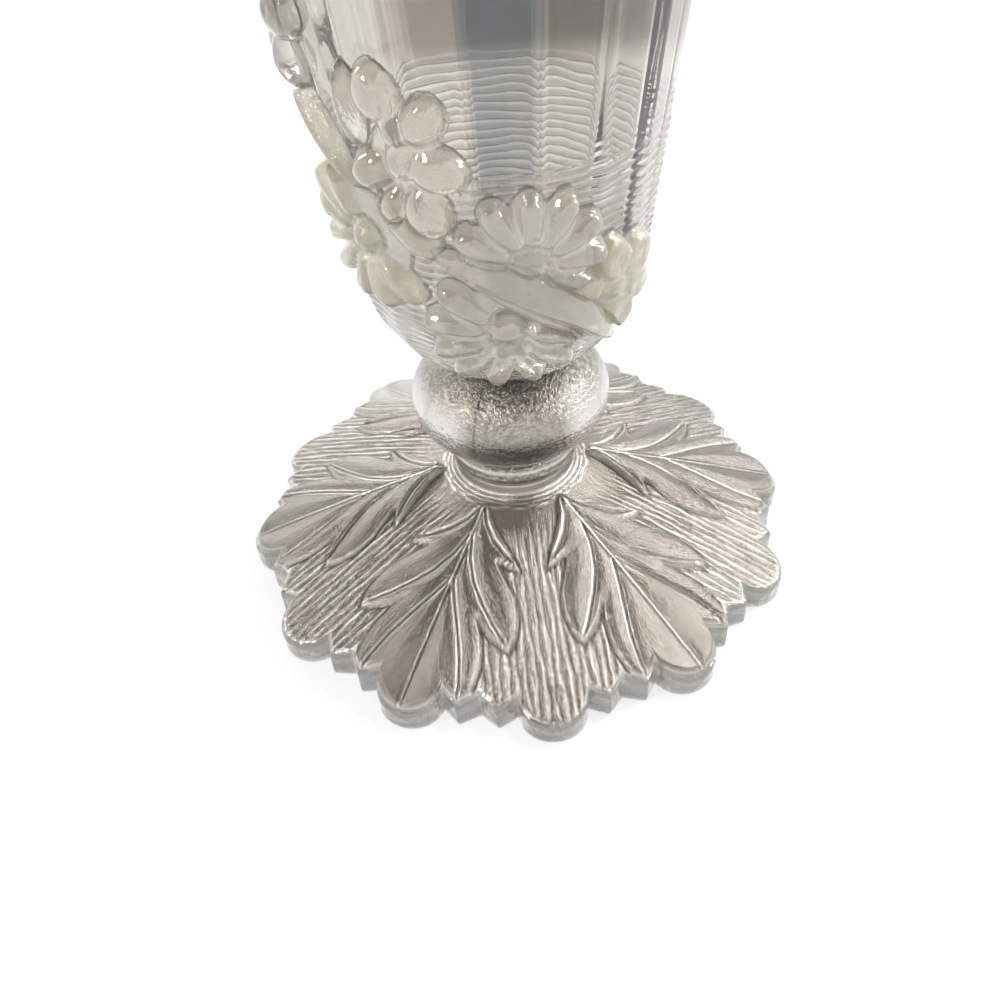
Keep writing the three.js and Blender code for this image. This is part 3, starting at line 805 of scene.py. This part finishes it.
def threads(angle, along, low, high):
    """Rise of the threads at a distance along the wall, with painted shade between them and painted
    highlights on their crests.

    They stop under the garland, and at the front they are worn to half their height.
    """
    long_wave = 0.16 * np.sin(np.radians(angle * 7) + along * 0.7)
    short_wave = 0.08 * np.sin(np.radians(angle * 16) - along)
    phase = (along - low) / THREAD_PITCH + (long_wave + short_wave)
    crest = 0.5 + 0.5 * np.cos(2 * math.pi * phase)
    fade = smooth(along, low, low + 1.5) * smooth(-along, -high, -high + 1.5)
    bare = 1 - smooth(garland_cover(angle, np.full(angle.shape, along)), -1.0, 0.0)
    worn = 1 - 0.5 * smooth(np.cos(np.radians(angle + 10)), -0.3, 0.1)
    strength = fade * bare * worn
    return THREAD_RISE * strength * crest**1.3, strength * (0.9 * (1 - crest) ** 2 - crest**8)


def make_bowl():
    angle = bowl_angles()
    rings = Rings()
    rings.pole(BOWL_BOTTOM - 0.02)
    rings.ring(place(np.full(angle.shape, SEAT * 0.5), angle, BOWL_BOTTOM - 0.02))

    # Outside, from the seat over the threads up to the lip.
    low, high = along_at(THREAD_BOTTOM), along_at(THREAD_TOP)
    bottom = np.linspace(0, low, 6)[:-1]
    steps = np.arange(low, high, THREAD_PITCH / RINGS_PER_THREAD)
    top = np.concatenate([np.linspace(high, high + 2, 6), np.linspace(high + 4, WALL_LENGTH - 2, 40)])
    for along in np.concatenate([bottom, steps, top]):
        rise, groove = threads(angle, along, low, high) if low < along < high else (0.0, 0.0)
        out = panel_out(angle, wall_at(along, 0)[0]) + rise
        r, z = wall_at(along, out)
        rings.ring(place(r, angle, z), groove)

    lip_middle, lip_reach, lip_bottom = MOUTH - WALL / 2, WALL / 2 + LIP_BULGE, BOWL_TOP - LIP
    for turn in np.radians(np.linspace(-40, 200, 25)):
        r = np.full(angle.shape, lip_middle + lip_reach * math.cos(turn))
        rings.ring(place(r, angle, lip_bottom + LIP * math.sin(turn)))

    # Inside, down to the rounded floor.
    for along in np.linspace(WALL_LENGTH - 3, along_at(BOWL_BOTTOM + HIP_HEIGHT * 1.6), 60):
        r, z = wall_at(along, -WALL)
        rings.ring(place(r + panel_out(angle, r) * smooth(WALL_LENGTH - along, 3, 15), angle, z))
    hip_r, hip_z = wall_at(along_at(BOWL_BOTTOM + HIP_HEIGHT * 1.15), -WALL)
    floor = BOWL_BOTTOM + FLOOR
    curve = bezier([(hip_r, hip_z), (hip_r * 0.93, floor + WALL * 0.15), (hip_r * 0.35, floor)], 24)
    for share, (r, z) in zip(np.linspace(1, 0, 24), curve):
        rings.ring(place(r + panel_out(angle, r) * share, angle, z))
    rings.pole(floor - 0.05)
    bowl = make_mesh("bowl_panelled", rings.points, rings.faces, BOWL_GLASS, ["bowl"],
                     rings.groove)

    # The painted reflections of the room set in above a slanting line and in the darker panels, and are
    # thin under the garland.
    x, y, z = np.array(rings.points).T
    round_at = np.degrees(np.arctan2(x, -y))
    pane_reflection_tones = painted_pane_tones(round_at)
    start = 68 - 6 * y / np.maximum(np.hypot(x, y), 1e-3)
    painted_reflection_share = np.maximum(smooth(z, start, start + 4), 0.62 * (1 - pane_reflection_tones) ** 1.2)
    cover = garland_cover(round_at, np.interp(z, WALL_POINTS[:, 1], WALL_ALONG))
    painted_reflection_share *= 1 - 0.8 * smooth(cover, -0.2, 0.4)
    add_attribute(bowl.data, "pane", pane_reflection_tones)
    add_attribute(bowl.data, "painted_reflection_share", painted_reflection_share)


# Ornaments of the garland

def neighbours(grid, step=1):
    """The grid, moved a step to each side."""
    return [np.roll(grid, shift, axis) for axis in (0, 1) for shift in (step, -step)]


def without_pinches(quads):
    """Cells that touch at a corner alone get a third cell, so that no edge has four faces."""
    for _ in range(4):
        a, b, c, d = quads[:-1, :-1], quads[:-1, 1:], quads[1:, :-1], quads[1:, 1:]
        rising, falling = b & c & ~a & ~d, a & d & ~b & ~c
        a |= rising
        b |= falling
    return quads


def make_ornament(index):
    """A patch over the wall where the ornament stands out, closed by a back sunk in the wall."""
    name, middle, above, (height, reach) = GARLAND[index]
    n = int(2 * reach / ORNAMENT_GRID) + 1
    x, y = np.meshgrid(np.linspace(-reach, reach, n), np.linspace(-reach, reach, n))
    along = garland_along(middle, above) + y
    radius, _ = wall_at(along, 0)
    angle = middle + np.degrees(x / radius)
    h = height(x, y)
    # The patch goes two cells past the ornament, and stops where another one lies over it.
    inside = h > -0.5
    for _ in range(2):
        inside = np.logical_or.reduce([inside, *neighbours(inside)])
    inside &= garland_cover(angle, along, index) < 0.8
    # Its edges are softened, from just inside the wall.
    h = np.maximum(h, -0.45)
    for _ in range(4 if name in CREAM else 8):
        h = sum(neighbours(h), h * 4) / 8

    quads = without_pinches(inside[:-1, :-1] & inside[1:, :-1] & inside[:-1, 1:] & inside[1:, 1:])
    used = np.zeros(h.shape, bool)
    for dy in (0, 1):
        for dx in (0, 1):
            used[dy:n - 1 + dy, dx:n - 1 + dx] |= quads
    count = int(used.sum())
    number = np.full(h.shape, -1)
    number[used] = np.arange(count)

    def laid(out):
        flat = panel_out(angle[used], radius[used])
        r, z = wall_at(along[used], flat + out)
        return place(r, angle[used], z)
    points = np.concatenate([laid(h[used]), laid(np.full(count, ORNAMENT_BACK))])

    # Painted light in hollows and along the edge, painted shade on top.
    around = sum(neighbours(h, 2)) / 4
    painted_light_outline = np.maximum(np.clip((around - h) * 10 - 0.15, 0, 1), smooth(-h, -0.6, 0.0))
    painted_shade_on_top = 0.22 * smooth(h, 0.9, 1.9)
    groove = np.concatenate([(painted_shade_on_top - 1.6 * painted_light_outline)[used], np.zeros(count)])
    faces = []
    for i, j in np.argwhere(quads):
        a, b, c, d = number[i, j], number[i, j + 1], number[i + 1, j + 1], number[i + 1, j]
        faces.append((a, b, c, d))
        faces.append((d + count, c + count, b + count, a + count))
        for (di, dj), (p, q) in (((-1, 0), (a, b)), ((0, 1), (b, c)), ((1, 0), (c, d)), ((0, -1), (d, a))):
            ni, nj = i + di, j + dj
            if not (0 <= ni < n - 1 and 0 <= nj < n - 1) or not quads[ni, nj]:
                faces.append((q, p, p + count, q + count))
    material = CREAM_GLASS if name in CREAM else CLEAR_GLASS if name in CLEAR else GARLAND_GLASS
    make_mesh(name + "_relief", points, faces, material, [name], groove)


# Floor, lights and world

def make_floor():
    size, below = 6.0, -0.00005
    mesh = bpy.data.meshes.new("floor")
    corners = [(-size, -size, below), (size, -size, below), (size, size, below), (-size, size, below)]
    mesh.from_pydata(corners, [], [(0, 1, 2, 3)])
    floor = bpy.data.objects.new("floor", mesh)
    scene.collection.objects.link(floor)
    material, tree, shader = nodes_of("floor_white")
    shader.inputs["Base Color"].default_value = (0.33, 0.33, 0.33, 1)
    shader.inputs["Roughness"].default_value = 0.9
    shader.inputs["Specular IOR Level"].default_value = 0.0
    shader.inputs["Emission Color"].default_value = (1, 1, 1, 1)
    # It glows white where the camera sees it, straight or in the glass, and lights nothing.
    path = tree.nodes.new("ShaderNodeLightPath")
    seen = path.outputs["Is Camera Ray"]
    for ray in ("Is Glossy Ray", "Is Transmission Ray"):
        either = node(tree, "ShaderNodeMath", "MAXIMUM")
        tree.links.new(seen, either.inputs[0])
        tree.links.new(path.outputs[ray], either.inputs[1])
        seen = either.outputs[0]
    level = node(tree, "ShaderNodeMath", "MULTIPLY")
    level.inputs[1].default_value = 0.75
    tree.links.new(seen, level.inputs[0])
    tree.links.new(level.outputs[0], shader.inputs["Emission Strength"])
    mesh.materials.append(material)


def lamp(name, location, size, watts, color, height=None):
    """A rectangular lamp that faces the vase, square if it has no height."""
    data = bpy.data.lights.new(name, "AREA")
    data.shape = "RECTANGLE"
    data.size, data.size_y = size, height or size
    data.energy = watts
    data.color = color
    light = bpy.data.objects.new(name, data)
    light.location = location
    light.rotation_euler = (Vector((0, 0, 0.04)) - Vector(location)).to_track_quat("-Z", "Y").to_euler()
    scene.collection.objects.link(light)


def make_lights():
    lamp("overhead", (0.24, 0.12, 0.52), 0.08, 0.6, (1.0, 1.0, 0.98))
    lamp("strip", (0.40, 0.14, 0.38), 0.04, 1.0, (1.0, 0.99, 0.97), 0.26)
    lamp("key", (-0.4, -0.2, 0.45), 0.07, 1.0, (1.0, 0.98, 0.94), 0.12)
    lamp("side", (0.5, -0.05, 0.3), 0.05, 0.5, (0.97, 0.98, 1.0), 0.2)
    lamp("far", (-0.15, 0.6, 0.25), 0.3, 0.9, (1.0, 0.99, 0.97), 0.06)
    lamp("left", (-0.45, 0.3, 0.32), 0.05, 0.4, (1.0, 0.99, 0.96), 0.22)
    lamp("spark", (0.10, 0.26, 0.5), 0.07, 0.08, (1.0, 0.5, 0.15))


def make_world():
    """A white room with a dark ceiling, whose edge is a little uneven."""
    world = bpy.data.worlds.new("studio")
    scene.world = world
    world.use_nodes = True
    tree = world.node_tree
    sky = tree.nodes["Background"]
    spot = tree.nodes.new("ShaderNodeTexCoord")
    high = node(tree, "ShaderNodeVectorMath", "DOT_PRODUCT")
    high.inputs[1].default_value = (-0.22, 0.0, 0.97)
    noise = node(tree, "ShaderNodeTexNoise", Scale=2.6, Detail=0.0)
    uneven = node(tree, "ShaderNodeMath", "MULTIPLY_ADD")
    uneven.inputs[1].default_value = 0.35
    ramp = tree.nodes.new("ShaderNodeValToRGB")
    wall, ceiling = ramp.color_ramp.elements
    wall.position, wall.color = 0.78, (1.08, 1.07, 1.03, 1)
    ceiling.position, ceiling.color = 0.95, (0.07, 0.07, 0.075, 1)
    tree.links.new(spot.outputs["Generated"], high.inputs[0])
    tree.links.new(spot.outputs["Generated"], noise.inputs["Vector"])
    tree.links.new(noise.outputs["Fac"], uneven.inputs[0])
    tree.links.new(high.outputs["Value"], uneven.inputs[2])
    tree.links.new(uneven.outputs[0], ramp.inputs["Fac"])
    tree.links.new(ramp.outputs["Color"], sky.inputs["Color"])
    sky.inputs["Strength"].default_value = 1.0


scene.view_settings.view_transform = "Standard"
make_floor()
make_lights()
make_world()
make_foot()
make_collar()
make_knop()
make_bowl()
for number in range(len(GARLAND)):
    make_ornament(number)
